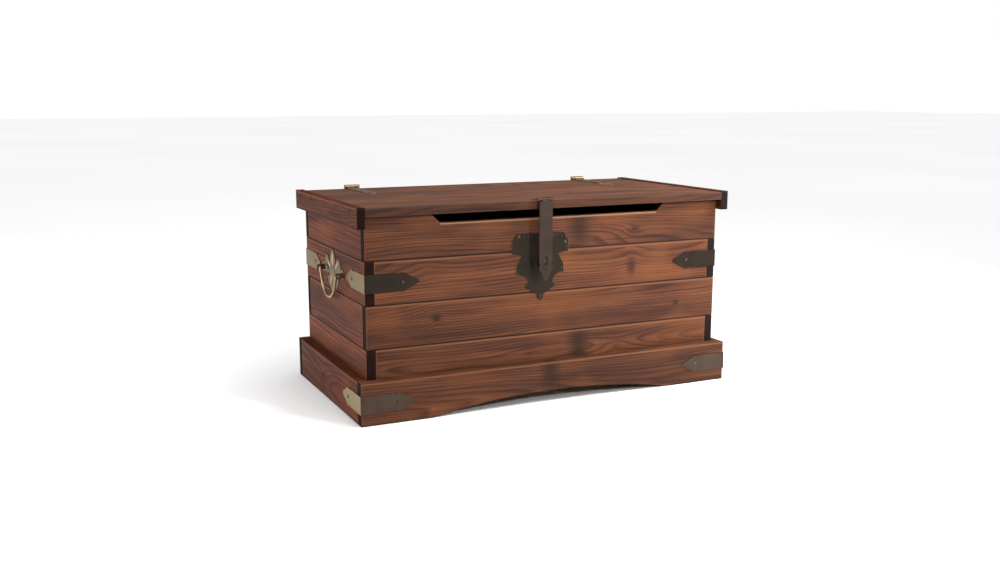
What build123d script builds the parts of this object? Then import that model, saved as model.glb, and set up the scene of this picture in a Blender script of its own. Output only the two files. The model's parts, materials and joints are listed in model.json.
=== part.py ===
from build123d import *
import os

# A lidded storage chest of stained pine: four courses of boards lapped at the corners, a plinth
# with an arched front round its foot, a boarded lid with end cleats, and iron and brass fittings.
# Sizes are in millimetres. The floor is Z = 0, the front faces -Y and the length runs along X.
# The origin is on the floor, under the middle of the chest.

# ---- Driving dimensions: chest ----
body_length = 872.0
body_depth = 440.0
wall_thickness = 20.0
board_width = 93.0  # every sawn board, so also the height of one course
course_count = 4
arris = 2.0  # eased edge of the wall and plinth boards
plinth_thickness = 21.0
plinth_overlap = 30.0  # how far the plinth climbs over the bottom course
foot_length = 157.0  # flat stretch at each end of the arched front plinth
arch_rise = 28.0
scoop_inset = 148.0  # from the end of the chest to the hand scoop
scoop_slope = 21.0  # run of each sloping end of the scoop
scoop_depth = 20.5
scoop_corner = 14.0
bearer_width = 25.0
bearer_height = 30.0
floor_thickness = 9.0
corner_nail_length = 50.0
corner_nail_cover = 4.0  # filler over each sunk corner nail
corner_nail_head = 2.4
corner_nail_shank = 1.4
plinth_nail_shares = (0.3, 0.7)  # heights of its corner nails, as shares of the board
sunk_dome = 0.4  # height of the head of any sunk nail
floor_clearance = 0.5  # round the floor panel
floor_arris = 1.0

# ---- Driving dimensions: lid ----
lid_thickness = 17.7
lid_front_overhang = 18.5
lid_rear_overhang = 9.7
lid_lift = 0.3  # gap between the closed lid and the walls
lid_board_count = 5
lid_board_gap = 0.8
lid_arris = 1.2
cleat_thickness = 18.0
cleat_height = 43.5
cleat_rise = 2.5  # how far the cleats stand above the boards
cleat_clearance = 1.5  # between each cleat and the wall that it passes
cleat_nail_length = 46.0
cleat_nail_pit = 1.2  # how deep the cleat nails are sunk
cleat_nail_head = 3.0
cleat_nail_shank = 1.6
cleat_nail_share = 0.4  # depth below the lid's top, as a share of its thickness

# ---- Driving dimensions: fittings ----
running_fit = 0.05  # radial gap of a knuckle on its pin
knuckle_gap = 0.4  # end gap between neighbouring knuckles
nail_shank = 1.3  # radius of every fitting nail
nail_length = 15.0
nail_head = 3.6
nail_dome = 1.7

bracket_thickness = 1.6
bracket_to_handle = 19.0  # from the tip of a bracket's side leaf to the handle plate
bracket_half_width = 19.5
bracket_bend = 0.9 * bracket_thickness  # outside radius at the corner
bracket_spear = 42.0  # length of the spear head
bracket_nail_inset = 5.0  # from the start of the spear head back to the nail
bracket_course = 1  # course that carries the wall brackets, counted from the top at 0

hasp_offset = -32.0  # the hasp hangs left of the middle
hasp_half_width = 16.0
hasp_thickness = 2.2
hasp_drop = 178.0  # from the pin down to the tip
hasp_spear = 33.0
hasp_knuckle_radius = 4.0
hasp_knuckle_length = 36.0
hasp_pin_radius = 1.8
hasp_standoff = 4.8  # the pin's distance in front of the lid's edge
hasp_leaf_length = 34.0
hasp_pin_head = 1.6
hasp_shoulder_gap = 1.5  # between the knuckles and the full width of each leaf
hasp_nail_reach = 22.0  # from the pin to the leaf's two nails
hasp_nail_half_pitch = 9.0
slot_half_width = 4.2
slot_length = 22.0
staple_wire = 2.2  # radius
staple_pitch = 11.0  # between the centres of its two legs
staple_gap = 1.5  # between the staple and the hanging strap
staple_grip = 14.0  # length of each leg inside the board
staple_below_pin = 135.0  # where the strap's slot passes over the staple
leaf_plate_thickness = 1.6

handle_below_bracket = 3.5  # the handles hang level with the wall brackets, nearly
handle_plate_thickness = 1.6
handle_plate_half = 82.0  # from its middle to the outside of each ear's lobe
ear_spread = 72.0  # from the middle of the handle to each ear
ear_width = 7.0
ear_radius = 5.5
ear_standoff = 11.0  # from the plate to the bail's pivot
bail_wire = 3.0  # radius
bail_half_width = 61.5
bail_bottom_half = 34.0
bail_drop = 56.0
bail_fit = 0.3  # radial gap of the bail's end in its ear
bail_end = 2.0  # how far the bail's ends stand out of the ears
handle_nail_spread = 36.0  # from the middle of the plate to each nail
handle_nail_drop = 12.0

hinge_spread = 315.0  # from the middle of the chest to each hinge
hinge_knuckle_radius = 4.5
hinge_knuckle_length = 36.0
hinge_pin_radius = 2.4
hinge_standoff = 4.6  # the pin's distance behind the lid's edge
hinge_thickness = 2.0
hinge_strap_length = 180.0  # from the pin to the tip
hinge_strap_half_width = 13.0
hinge_strap_spear = 44.0
hinge_leaf_drop = 60.0  # of the fixed leaf down the back
hinge_pin_head = 2.0
hinge_shoulder_gap = 1.0
hinge_crank_drop = 3.0  # from the top of the wall to where the fixed leaf steps in
hinge_strap_nail_shares = (0.16, 0.45, 0.8)  # of the strap's length
hinge_leaf_nail_half_pitch = 10.0
hinge_leaf_nail_drops = (24.0, 48.0)

# ---- Places worked out from the sizes above ----
body_bottom = board_width - plinth_overlap
body_top = body_bottom + course_count * board_width
front_face = -body_depth / 2
back_face = body_depth / 2
side_face = body_length / 2
inside_length = body_length - 2 * wall_thickness
inside_depth = body_depth - 2 * wall_thickness
plinth_length = body_length + 2 * plinth_thickness

lid_bottom = body_top + lid_lift
lid_top = lid_bottom + lid_thickness
lid_front = front_face - lid_front_overhang
lid_back = back_face + lid_rear_overhang
lid_depth = lid_back - lid_front
lid_panel_length = body_length + 2 * cleat_clearance
lid_board_width = (lid_depth - (lid_board_count - 1) * lid_board_gap) / lid_board_count

hasp_pin = Vector(hasp_offset, lid_front - hasp_standoff, lid_top + hasp_knuckle_radius)
hinge_pin = Vector(hinge_spread, lid_back + hinge_standoff, lid_top + hinge_knuckle_radius)
staple_height = hasp_pin.Z - staple_below_pin
bracket_height = body_top - (bracket_course + 0.5) * board_width
bracket_reach = body_depth / 2 - handle_plate_half - bracket_to_handle  # from the corner to the tip
handle_height = bracket_height - handle_below_bracket
pivot_reach = side_face + handle_plate_thickness + ear_standoff

os.makedirs("parts", exist_ok=True)
nails = []  # every nail and staple leg that a board or plate has to open for


def save(piece, name):
    """Label a finished piece and write it to its own file."""
    piece.part.label = name
    export_step(piece.part, f"parts/{name}.step")


def front_plane(y, x=0.0, z=0.0):
    """Sketch plane that faces the front: its X is the chest's X, its Y is up."""
    return Plane(origin=(x, y, z), x_dir=(1, 0, 0), z_dir=(0, -1, 0))


def side_plane(side, x, y=0.0, z=0.0):
    """Sketch plane that faces out of one end of the chest: its X runs from front to back on either end."""
    return Plane(origin=(side * x, y, z), x_dir=(0, side, 0), z_dir=(side, 0, 0))


# ---- Nails ----


def drive_nails(name, spots, head, dome, shank, length):
    """One group of nails. Each spot is a plane on the surface, with its Z pointing out of the wood."""
    with BuildPart() as group:
        for spot in spots:
            section = Plane(origin=spot.origin, x_dir=spot.x_dir, z_dir=-spot.y_dir)
            with BuildSketch(section):
                with BuildLine():
                    Polyline(
                        (0, dome), (0, -length), (shank, -length + 2 * shank), (shank, 0),
                        (head, 0), (0.85 * head, 0.6 * dome), (0.45 * head, dome),
                        close=True,
                    )
                make_face()
            revolve(axis=Axis(spot.origin, spot.z_dir))
    save(group, name)
    nails.extend(group.part.solids())


def open_for_nails(piece):
    """Cut the holes for the nails that reach this piece. It is called inside the piece's own block."""
    box = piece.part.bounding_box()
    for nail in nails:
        reach = nail.bounding_box()
        apart = (
            reach.min.X > box.max.X or reach.max.X < box.min.X
            or reach.min.Y > box.max.Y or reach.max.Y < box.min.Y
            or reach.min.Z > box.max.Z or reach.max.Z < box.min.Z
        )
        if not apart:
            add(nail, mode=Mode.SUBTRACT)


def nail_spots(plane, places, lift):
    """Planes for nails at places on a sketch plane, lifted by the thickness of the plate they hold."""
    spots = []
    for across, up in places:
        origin = plane.from_local_coords(Vector(across, up, lift))
        spots.append(Plane(origin=origin, x_dir=plane.x_dir, z_dir=plane.z_dir))
    return spots


def corner_spots(length, depth, thickness, heights, laps_front):
    """Sunk nails at the four corners of one ring of boards, through the lapping boards."""
    spots = []
    for side in (-1, 1):
        for end in (-1, 1):
            for height in heights:
                if laps_front:
                    x = side * (length - thickness) / 2
                    y = end * (depth / 2 - corner_nail_cover)
                    spots.append(Plane(origin=(x, y, height), z_dir=(0, end, 0)))
                else:
                    x = side * (length / 2 - corner_nail_cover)
                    y = end * (depth - thickness) / 2
                    spots.append(Plane(origin=(x, y, height), z_dir=(side, 0, 0)))
    return spots


# ---- Planes that the fittings lie on ----


def bracket_planes(side, end, length, depth, height):
    """The two leaves of one corner bracket. X runs from the corner along the wall, Z points outwards."""
    corner = (side * length / 2, end * depth / 2, height)
    return [
        Plane(origin=corner, x_dir=(-side, 0, 0), z_dir=(0, end, 0)),
        Plane(origin=corner, x_dir=(0, -end, 0), z_dir=(side, 0, 0)),
    ]


plinth_depth = body_depth + 2 * plinth_thickness
bracket_sites = {
    "bracket_front_left": bracket_planes(-1, -1, body_length, body_depth, bracket_height),
    "bracket_front_right": bracket_planes(1, -1, body_length, body_depth, bracket_height),
    "bracket_back_left": bracket_planes(-1, 1, body_length, body_depth, bracket_height),
    "bracket_back_right": bracket_planes(1, 1, body_length, body_depth, bracket_height),
    "plinth_bracket_left": bracket_planes(-1, -1, plinth_length, plinth_depth, board_width / 2),
    "plinth_bracket_right": bracket_planes(1, -1, plinth_length, plinth_depth, board_width / 2),
}
leaf_plane = front_plane(front_face, hasp_offset, staple_height)
hasp_leaf_plane = Plane(origin=(hasp_offset, hasp_pin.Y, lid_top), x_dir=(0, 1, 0), z_dir=(0, 0, 1))
hasp_strap_plane = Plane(
    origin=(hasp_offset, hasp_pin.Y - hasp_knuckle_radius, hasp_pin.Z), x_dir=(0, 0, -1), z_dir=(0, -1, 0)
)
sides = {"left": -1, "right": 1}
handle_planes = {name: side_plane(side, side_face, 0, handle_height) for name, side in sides.items()}
hinge_strap_planes = {
    name: Plane(origin=(side * hinge_spread, hinge_pin.Y, lid_top), x_dir=(0, -1, 0), z_dir=(0, 0, 1))
    for name, side in sides.items()
}
hinge_back_planes = {
    name: Plane(origin=(side * hinge_spread, back_face, body_top), x_dir=(-1, 0, 0), z_dir=(0, 1, 0))
    for name, side in sides.items()
}

# ---- All nails, which the boards and plates are then opened for ----

course_heights = [body_top - (course + 0.5) * board_width for course in range(course_count)]
plinth_nail_heights = [share * board_width for share in plinth_nail_shares]
sunk_spots = corner_spots(
    plinth_length, plinth_depth, plinth_thickness, plinth_nail_heights, laps_front=True
)
for course, middle in enumerate(course_heights):
    pair = [middle - board_width / 4, middle + board_width / 4]
    sunk_spots += corner_spots(body_length, body_depth, wall_thickness, pair, laps_front=course % 2 == 0)
drive_nails("corner_nails", sunk_spots, corner_nail_head, sunk_dome, corner_nail_shank, corner_nail_length)

bracket_nail_at = bracket_reach - bracket_spear + bracket_nail_inset
bracket_spots = []
for leaves in bracket_sites.values():
    for leaf in leaves:
        bracket_spots += nail_spots(leaf, [(bracket_nail_at, 0)], bracket_thickness)
drive_nails("bracket_nails", bracket_spots, nail_head, nail_dome, nail_shank, nail_length)

leaf_nail_places = [(-54, 53), (61, 36), (0, -81)]
leaf_spots = nail_spots(leaf_plane, leaf_nail_places, leaf_plate_thickness)
drive_nails("hasp_plate_nails", leaf_spots, nail_head, nail_dome, nail_shank, nail_length)

hasp_leaf_places = [(hasp_nail_reach, -hasp_nail_half_pitch), (hasp_nail_reach, hasp_nail_half_pitch)]
hasp_leaf_spots = nail_spots(hasp_leaf_plane, hasp_leaf_places, hasp_thickness)
drive_nails("hasp_leaf_nails", hasp_leaf_spots, nail_head, nail_dome, nail_shank, nail_length)

handle_spots = []
for plane in handle_planes.values():
    places = [(end * handle_nail_spread, -handle_nail_drop) for end in (-1, 1)]
    handle_spots += nail_spots(plane, places, handle_plate_thickness)
drive_nails("handle_nails", handle_spots, nail_head, nail_dome, nail_shank, nail_length)

strap_spots = []
for plane in hinge_strap_planes.values():
    places = [(share * hinge_strap_length, 0) for share in hinge_strap_nail_shares]
    strap_spots += nail_spots(plane, places, hinge_thickness)
drive_nails("hinge_strap_nails", strap_spots, nail_head, nail_dome, nail_shank, nail_length)

back_spots = []
for plane in hinge_back_planes.values():
    places = [
        (end * hinge_leaf_nail_half_pitch, -drop) for end in (-1, 1) for drop in hinge_leaf_nail_drops
    ]
    back_spots += nail_spots(plane, places, hinge_thickness)
drive_nails("hinge_leaf_nails", back_spots, nail_head, nail_dome, nail_shank, nail_length)

lid_board_pitch = lid_board_width + lid_board_gap
lid_board_middles = [
    lid_front + lid_board_width / 2 + row * lid_board_pitch for row in range(lid_board_count)
]
cleat_outer = lid_panel_length / 2 + cleat_thickness
cleat_nail_height = lid_top - cleat_nail_share * lid_thickness
cleat_spots = [
    Plane(origin=(side * (cleat_outer - cleat_nail_pit), middle, cleat_nail_height), z_dir=(side, 0, 0))
    for side in sides.values()
    for middle in lid_board_middles
]
drive_nails("cleat_nails", cleat_spots, cleat_nail_head, sunk_dome, cleat_nail_shank, cleat_nail_length)


def build_staple():
    """A wire loop with both legs driven through the plate into the front wall."""
    strap_back = hasp_strap_plane.origin.Y + hasp_thickness
    bend = strap_back + staple_gap + staple_wire + staple_pitch / 2
    buried = front_face + staple_grip
    half = staple_pitch / 2
    with BuildPart() as staple:
        with BuildLine(Plane.YZ.offset(hasp_offset)) as loop:
            Line((buried, staple_height + half), (bend, staple_height + half))
            ThreePointArc(
                (bend, staple_height + half), (bend - half, staple_height), (bend, staple_height - half)
            )
            Line((bend, staple_height - half), (buried, staple_height - half))
        with BuildSketch(front_plane(buried, hasp_offset, staple_height + half)):
            Circle(staple_wire)
        sweep(path=loop.line)
    save(staple, "hasp_staple")
    nails.extend(staple.part.solids())


build_staple()


# ---- Boards ----


def build_board(name, size, middle, easing=arris):
    """One plain sawn board with eased edges."""
    with BuildPart() as board:
        with Locations(middle):
            Box(*size)
        fillet(board.edges(), easing)
        open_for_nails(board)
    save(board, name)


def build_top_front_board(length, middle):
    """The top board of the front, with the hand scoop along its upper edge."""
    half = body_length / 2 - scoop_inset
    flat = half - scoop_slope
    floor = body_top - scoop_depth
    above = body_top + board_width
    with BuildPart() as board:
        with Locations(middle):
            Box(length, wall_thickness, board_width)
        with BuildSketch(front_plane(front_face)) as scoop:
            with BuildLine():
                Polyline(
                    (-half, above), (-half, body_top), (-flat, floor),
                    (flat, floor), (half, body_top), (half, above),
                    close=True,
                )
            make_face()
            fillet(scoop.vertices().group_by(Axis.Y)[0], scoop_corner)
        extrude(amount=-wall_thickness, mode=Mode.SUBTRACT)
        fillet(board.edges(), arris)
        open_for_nails(board)
    save(board, "front_board_1")


def build_front_plinth(middle):
    """The front of the plinth, arched between its two feet."""
    half = plinth_length / 2 - foot_length
    with BuildPart() as board:
        with Locations(middle):
            Box(plinth_length, plinth_thickness, board_width)
        with BuildSketch(front_plane(-plinth_depth / 2)):
            with BuildLine():
                ThreePointArc((-half, 0), (0, arch_rise), (half, 0))
                Polyline((half, 0), (half, -arch_rise), (-half, -arch_rise), (-half, 0))
            make_face()
        extrude(amount=-plinth_thickness, mode=Mode.SUBTRACT)
        fillet(board.edges(), arris)
        open_for_nails(board)
    save(board, "plinth_front")


for course, middle in enumerate(course_heights):
    laps_front = course % 2 == 0
    front_length = body_length if laps_front else inside_length
    side_length = inside_depth if laps_front else body_depth
    wall_middle = (body_depth - wall_thickness) / 2
    end_middle = (body_length - wall_thickness) / 2
    front_size = (front_length, wall_thickness, board_width)
    side_size = (wall_thickness, side_length, board_width)
    if course == 0:
        build_top_front_board(front_length, (0, -wall_middle, middle))
    else:
        build_board(f"front_board_{course + 1}", front_size, (0, -wall_middle, middle))
    build_board(f"back_board_{course + 1}", front_size, (0, wall_middle, middle))
    build_board(f"left_board_{course + 1}", side_size, (-end_middle, 0, middle))
    build_board(f"right_board_{course + 1}", side_size, (end_middle, 0, middle))

plinth_middle = (plinth_depth - plinth_thickness) / 2
plinth_end = (plinth_length - plinth_thickness) / 2
build_front_plinth((0, -plinth_middle, board_width / 2))
build_board(
    "plinth_back", (plinth_length, plinth_thickness, board_width), (0, plinth_middle, board_width / 2)
)
for name, side in sides.items():
    size = (plinth_thickness, body_depth, board_width)
    build_board(f"plinth_{name}", size, (side * plinth_end, 0, board_width / 2))

bearer_size = (bearer_width, inside_depth, bearer_height)
bearer_end = (inside_length - bearer_width) / 2
for name, x in (("left", -bearer_end), ("middle", 0), ("right", bearer_end)):
    middle = (x, 0, body_bottom + bearer_height / 2)
    build_board(f"floor_bearer_{name}", bearer_size, middle, easing=floor_arris)

with BuildPart() as floor_panel:
    with Locations((0, 0, body_bottom + bearer_height + floor_thickness / 2)):
        Box(inside_length - 2 * floor_clearance, inside_depth - 2 * floor_clearance, floor_thickness)
save(floor_panel, "floor_panel")

# ---- Lid ----

for row, middle in enumerate(lid_board_middles):
    size = (lid_panel_length, lid_board_width, lid_thickness)
    build_board(f"lid_board_{row + 1}", size, (0, middle, lid_bottom + lid_thickness / 2), easing=lid_arris)


def build_cleat(name, side):
    """An end cleat that closes the ends of the lid's boards and hangs down outside the wall."""
    top = lid_top + cleat_rise
    x = side * (cleat_outer - cleat_thickness / 2)
    middle = (x, (lid_front + lid_back) / 2, top - cleat_height / 2)
    with BuildPart() as cleat:
        with Locations(middle):
            Box(cleat_thickness, lid_depth, cleat_height)
        fillet(cleat.edges(), lid_arris)
        for spot in cleat_spots:
            if spot.origin.X * side > 0:
                with BuildSketch(spot):
                    Circle(cleat_nail_head)
                extrude(amount=cleat_nail_pit, mode=Mode.SUBTRACT)
        open_for_nails(cleat)
    save(cleat, name)


for name, side in sides.items():
    build_cleat(f"lid_cleat_{name}", side)


# ---- Straps and brackets that end in a spear ----


def spear_face(plane, start, reach, half_width, spear, tip=2.5, nick=2.8, flare=1.2):
    """Flat outline of a strap: a band, a round nick in each edge, then a spear head out to the tip."""
    nick_at = reach - spear - nick
    with BuildSketch(plane) as face:
        with BuildLine():
            Polyline(
                (start, 0), (start, half_width), (nick_at + nick, half_width),
                (reach - spear + 2 * nick, half_width + flare), (reach, tip), (reach, 0),
            )
            mirror(about=Plane.XZ)
        make_face()
        with Locations((nick_at, half_width), (nick_at, -half_width)):
            Circle(nick, mode=Mode.SUBTRACT)
    return face.sketch


def build_bracket(name, leaves):
    """An iron angle that wraps one corner."""
    with BuildPart() as bracket:
        for leaf in leaves:
            face = spear_face(leaf, -bracket_thickness, bracket_reach, bracket_half_width, bracket_spear)
            extrude(face, amount=bracket_thickness)
        upright = bracket.edges().filter_by(Axis.Z)
        bend = upright.sort_by(lambda edge: abs(edge.center().X) + abs(edge.center().Y))[-1]
        fillet(bend, bracket_bend)
        open_for_nails(bracket)
    save(bracket, name)


for name, leaves in bracket_sites.items():
    build_bracket(name, leaves)


# ---- Knuckles and pins, which all lie along X ----


def roll_knuckle(pin, low, high, radius, mode=Mode.ADD):
    """Add or cut one round length along X. It is called inside the piece's own block."""
    with BuildSketch(Plane(origin=(low, pin.Y, pin.Z), x_dir=(0, 1, 0), z_dir=(1, 0, 0))) as ring:
        Circle(radius)
    extrude(ring.sketch, amount=high - low, mode=mode)


def lay_pin(pin, length, radius, head):
    """Add one pin with a small head at each end."""
    roll_knuckle(pin, pin.X - length / 2, pin.X + length / 2, radius)
    for side in (-1, 1):
        face = pin.X + side * length / 2
        outer = face + side * head / 2
        roll_knuckle(pin, min(face, outer), max(face, outer), radius + head / 2)


# ---- Hasp ----


def scallops(start, end, count, bulge):
    """A row of small outward bulges from start to end, drawn in the current outline."""
    first = Vector(*start)
    run = Vector(*end) - first
    for step in range(count):
        SagittaArc(first + run * (step / count), first + run * ((step + 1) / count), bulge)


def build_hasp_plate():
    """The leaf shaped plate behind the staple: three lobes a side and a round tip."""
    with BuildPart() as plate:
        with BuildSketch(leaf_plane):
            with BuildLine():
                Line((0, 59), (22, 59))
                scallops((22, 59), (58, 56), 4, 1.8)
                scallops((58, 56), (69, 40), 2, 1.8)
                scallops((69, 40), (69, 15), 3, 1.2)
                ThreePointArc((69, 15), (56, 14), (44, 10))
                scallops((44, 10), (57, -12), 3, 1.2)
                scallops((57, -12), (58, -31), 2, 1.2)
                ThreePointArc((58, -31), (40, -35), (31, -52))
                Line((31, -52), (38, -59))
                scallops((38, -59), (7, -77), 3, 1.4)
                ThreePointArc((7, -77), (7, -86), (0, -89))
                mirror(about=Plane.YZ)
            make_face()
        extrude(amount=leaf_plate_thickness)
        open_for_nails(plate)
    save(plate, "hasp_plate")


build_hasp_plate()

hasp_half_length = hasp_knuckle_length / 2
hasp_middle = hasp_half_length / 2 - knuckle_gap / 2  # half the length of the strap's own knuckle
hasp_left = hasp_pin.X - hasp_half_length
hasp_right = hasp_pin.X + hasp_half_length
hasp_shoulder = hasp_knuckle_radius + hasp_shoulder_gap  # from the pin to each leaf's full width


def build_hasp_leaf():
    """The fixed half of the hasp on the lid: two outer knuckles that hold the pin."""
    with BuildPart() as leaf:
        with BuildSketch(hasp_leaf_plane):
            with Locations((hasp_leaf_length / 2, 0)):
                Rectangle(hasp_leaf_length, hasp_knuckle_length)
        extrude(amount=hasp_thickness)
        roll_knuckle(hasp_pin, hasp_left, hasp_right, hasp_knuckle_radius)
        with BuildSketch(hasp_leaf_plane):
            Rectangle(2 * hasp_shoulder, 2 * hasp_middle + 2 * knuckle_gap)
        extrude(amount=3 * hasp_knuckle_radius, mode=Mode.SUBTRACT)
        roll_knuckle(hasp_pin, hasp_left, hasp_right, hasp_pin_radius, Mode.SUBTRACT)
        open_for_nails(leaf)
    save(leaf, "hasp_leaf")


def build_hasp_strap():
    """The swinging strap, with the slot that goes over the staple."""
    slot_at = hasp_pin.Z - staple_height
    with BuildPart() as strap:
        face = spear_face(hasp_strap_plane, hasp_shoulder, hasp_drop, hasp_half_width, hasp_spear, tip=4.0)
        extrude(face, amount=-hasp_thickness)
        with BuildSketch(hasp_strap_plane):
            with Locations((hasp_shoulder / 2, 0)):
                Rectangle(hasp_shoulder, 2 * hasp_middle)
        extrude(amount=-hasp_thickness)
        low, high = hasp_pin.X - hasp_middle, hasp_pin.X + hasp_middle
        roll_knuckle(hasp_pin, low, high, hasp_knuckle_radius)
        roll_knuckle(hasp_pin, low, high, hasp_pin_radius + running_fit, Mode.SUBTRACT)
        with BuildSketch(hasp_strap_plane):
            with Locations((slot_at, 0)):
                SlotOverall(slot_length, 2 * slot_half_width)
        extrude(amount=-hasp_thickness, mode=Mode.SUBTRACT)
    save(strap, "hasp_strap")


build_hasp_leaf()
build_hasp_strap()

with BuildPart() as hasp_pin_rod:
    lay_pin(hasp_pin, hasp_knuckle_length, hasp_pin_radius, hasp_pin_head)
save(hasp_pin_rod, "hasp_pin")


# ---- Side handles ----


def build_handle_plate(name, side):
    """A crowned plate with an ear at each side that carries the bail."""
    plane = handle_planes[name]
    with BuildPart() as plate:
        with BuildSketch(plane):
            with BuildLine():
                ThreePointArc((0, -48), (26, -37), (43, -14))
                Polyline((43, -14), (49, -8), (69, -9))
                ThreePointArc((69, -9), (handle_plate_half, 1), (72, 12))
                ThreePointArc((72, 12), (62, 13), (57, 20))
                ThreePointArc((57, 20), (52, 28), (42, 32))
                ThreePointArc((42, 32), (29, 25), (20, 12))
                ThreePointArc((20, 12), (15, 34), (0, 50))
                mirror(about=Plane.YZ)
            make_face()
        extrude(amount=handle_plate_thickness)
        for end in (-1, 1):
            pivot = plane.from_local_coords(
                Vector(end * ear_spread, 0, handle_plate_thickness + ear_standoff)
            )
            inner = Plane(origin=pivot - Vector(0, ear_width / 2, 0), x_dir=(-side, 0, 0), z_dir=(0, 1, 0))
            with BuildSketch(inner):
                Circle(ear_radius)
                with Locations((ear_standoff / 2, 0)):
                    Rectangle(ear_standoff, 2 * ear_radius)
                Circle(bail_wire + bail_fit, mode=Mode.SUBTRACT)
            extrude(amount=ear_width)
        open_for_nails(plate)
    save(plate, f"handle_plate_{name}")


def build_bail(name, side):
    """The drop handle: a bent rod with both ends turned outwards through the ears."""
    plane = side_plane(side, pivot_reach, 0, handle_height)
    end = ear_spread + ear_width / 2 + bail_end
    with BuildPart() as bail:
        with BuildLine(plane) as path:
            FilletPolyline(
                (end, 0), (bail_half_width, 0), (bail_bottom_half, -bail_drop),
                (-bail_bottom_half, -bail_drop), (-bail_half_width, 0), (-end, 0),
                radius=[5, 50, 50, 5],
            )
        with BuildSketch(Plane(origin=path.line @ 0, z_dir=path.line % 0)):
            Circle(bail_wire)
        sweep(path=path.line)
    save(bail, f"bail_{name}")


for name, side in sides.items():
    build_handle_plate(name, side)
    build_bail(name, side)


# ---- Hinges ----

hinge_half_length = hinge_knuckle_length / 2
hinge_middle = hinge_half_length / 2 - knuckle_gap / 2
hinge_shoulder = hinge_knuckle_radius + hinge_shoulder_gap
hinge_crank = body_top - hinge_crank_drop  # height at which the fixed leaf steps in to the back wall


def build_hinge_strap(name, side):
    """The long strap on the lid, with the middle knuckle."""
    pin = Vector(side * hinge_pin.X, hinge_pin.Y, hinge_pin.Z)
    plane = hinge_strap_planes[name]
    with BuildPart() as strap:
        face = spear_face(
            plane, hinge_shoulder, hinge_strap_length, hinge_strap_half_width, hinge_strap_spear, tip=1.5
        )
        extrude(face, amount=hinge_thickness)
        with BuildSketch(plane):
            with Locations((hinge_shoulder / 2, 0)):
                Rectangle(hinge_shoulder, 2 * hinge_middle)
        extrude(amount=hinge_thickness)
        low, high = pin.X - hinge_middle, pin.X + hinge_middle
        roll_knuckle(pin, low, high, hinge_knuckle_radius)
        roll_knuckle(pin, low, high, hinge_pin_radius + running_fit, Mode.SUBTRACT)
        open_for_nails(strap)
    save(strap, f"hinge_strap_{name}")


def build_hinge_leaf(name, side):
    """The fixed leaf: down behind the lid's edge, in under it, then down the back wall."""
    pin = Vector(side * hinge_pin.X, hinge_pin.Y, hinge_pin.Z)
    left, right = pin.X - hinge_half_length, pin.X + hinge_half_length
    outer = pin.Y + hinge_knuckle_radius
    low = body_top - hinge_leaf_drop
    with BuildPart() as leaf:
        with BuildSketch(Plane.YZ.offset(left)):
            with BuildLine():
                Polyline(
                    (outer, pin.Z), (outer, hinge_crank - hinge_thickness),
                    (back_face + hinge_thickness, hinge_crank - hinge_thickness),
                    (back_face + hinge_thickness, low), (back_face, low), (back_face, hinge_crank),
                    (outer - hinge_thickness, hinge_crank), (outer - hinge_thickness, pin.Z),
                    close=True,
                )
            make_face()
        extrude(amount=hinge_knuckle_length)
        roll_knuckle(pin, left, right, hinge_knuckle_radius)
        with BuildSketch(front_plane(outer, pin.X, pin.Z)):
            Rectangle(2 * hinge_middle + 2 * knuckle_gap, 2 * hinge_shoulder)
        extrude(amount=3 * hinge_knuckle_radius, mode=Mode.SUBTRACT)
        roll_knuckle(pin, left, right, hinge_pin_radius, Mode.SUBTRACT)
        open_for_nails(leaf)
    save(leaf, f"hinge_leaf_{name}")


for name, side in sides.items():
    build_hinge_strap(name, side)
    build_hinge_leaf(name, side)

with BuildPart() as hinge_pins:
    for side in sides.values():
        pin = Vector(side * hinge_pin.X, hinge_pin.Y, hinge_pin.Z)
        lay_pin(pin, hinge_knuckle_length, hinge_pin_radius, hinge_pin_head)
save(hinge_pins, "hinge_pins")
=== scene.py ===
# %% [markdown]
# # A stained pine deck box with iron and brass fittings
# The box was drawn as exact solids first, one for each real piece, and those solids are the
# frame of this lesson. Here each piece gets the finish it has on the real box, and the small
# pressed and hammered pieces are modelled again with more detail than a machine drawing needs.

# %% Load the frame
import json
import math

import bmesh
import bpy
from mathutils import Matrix, Vector

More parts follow.
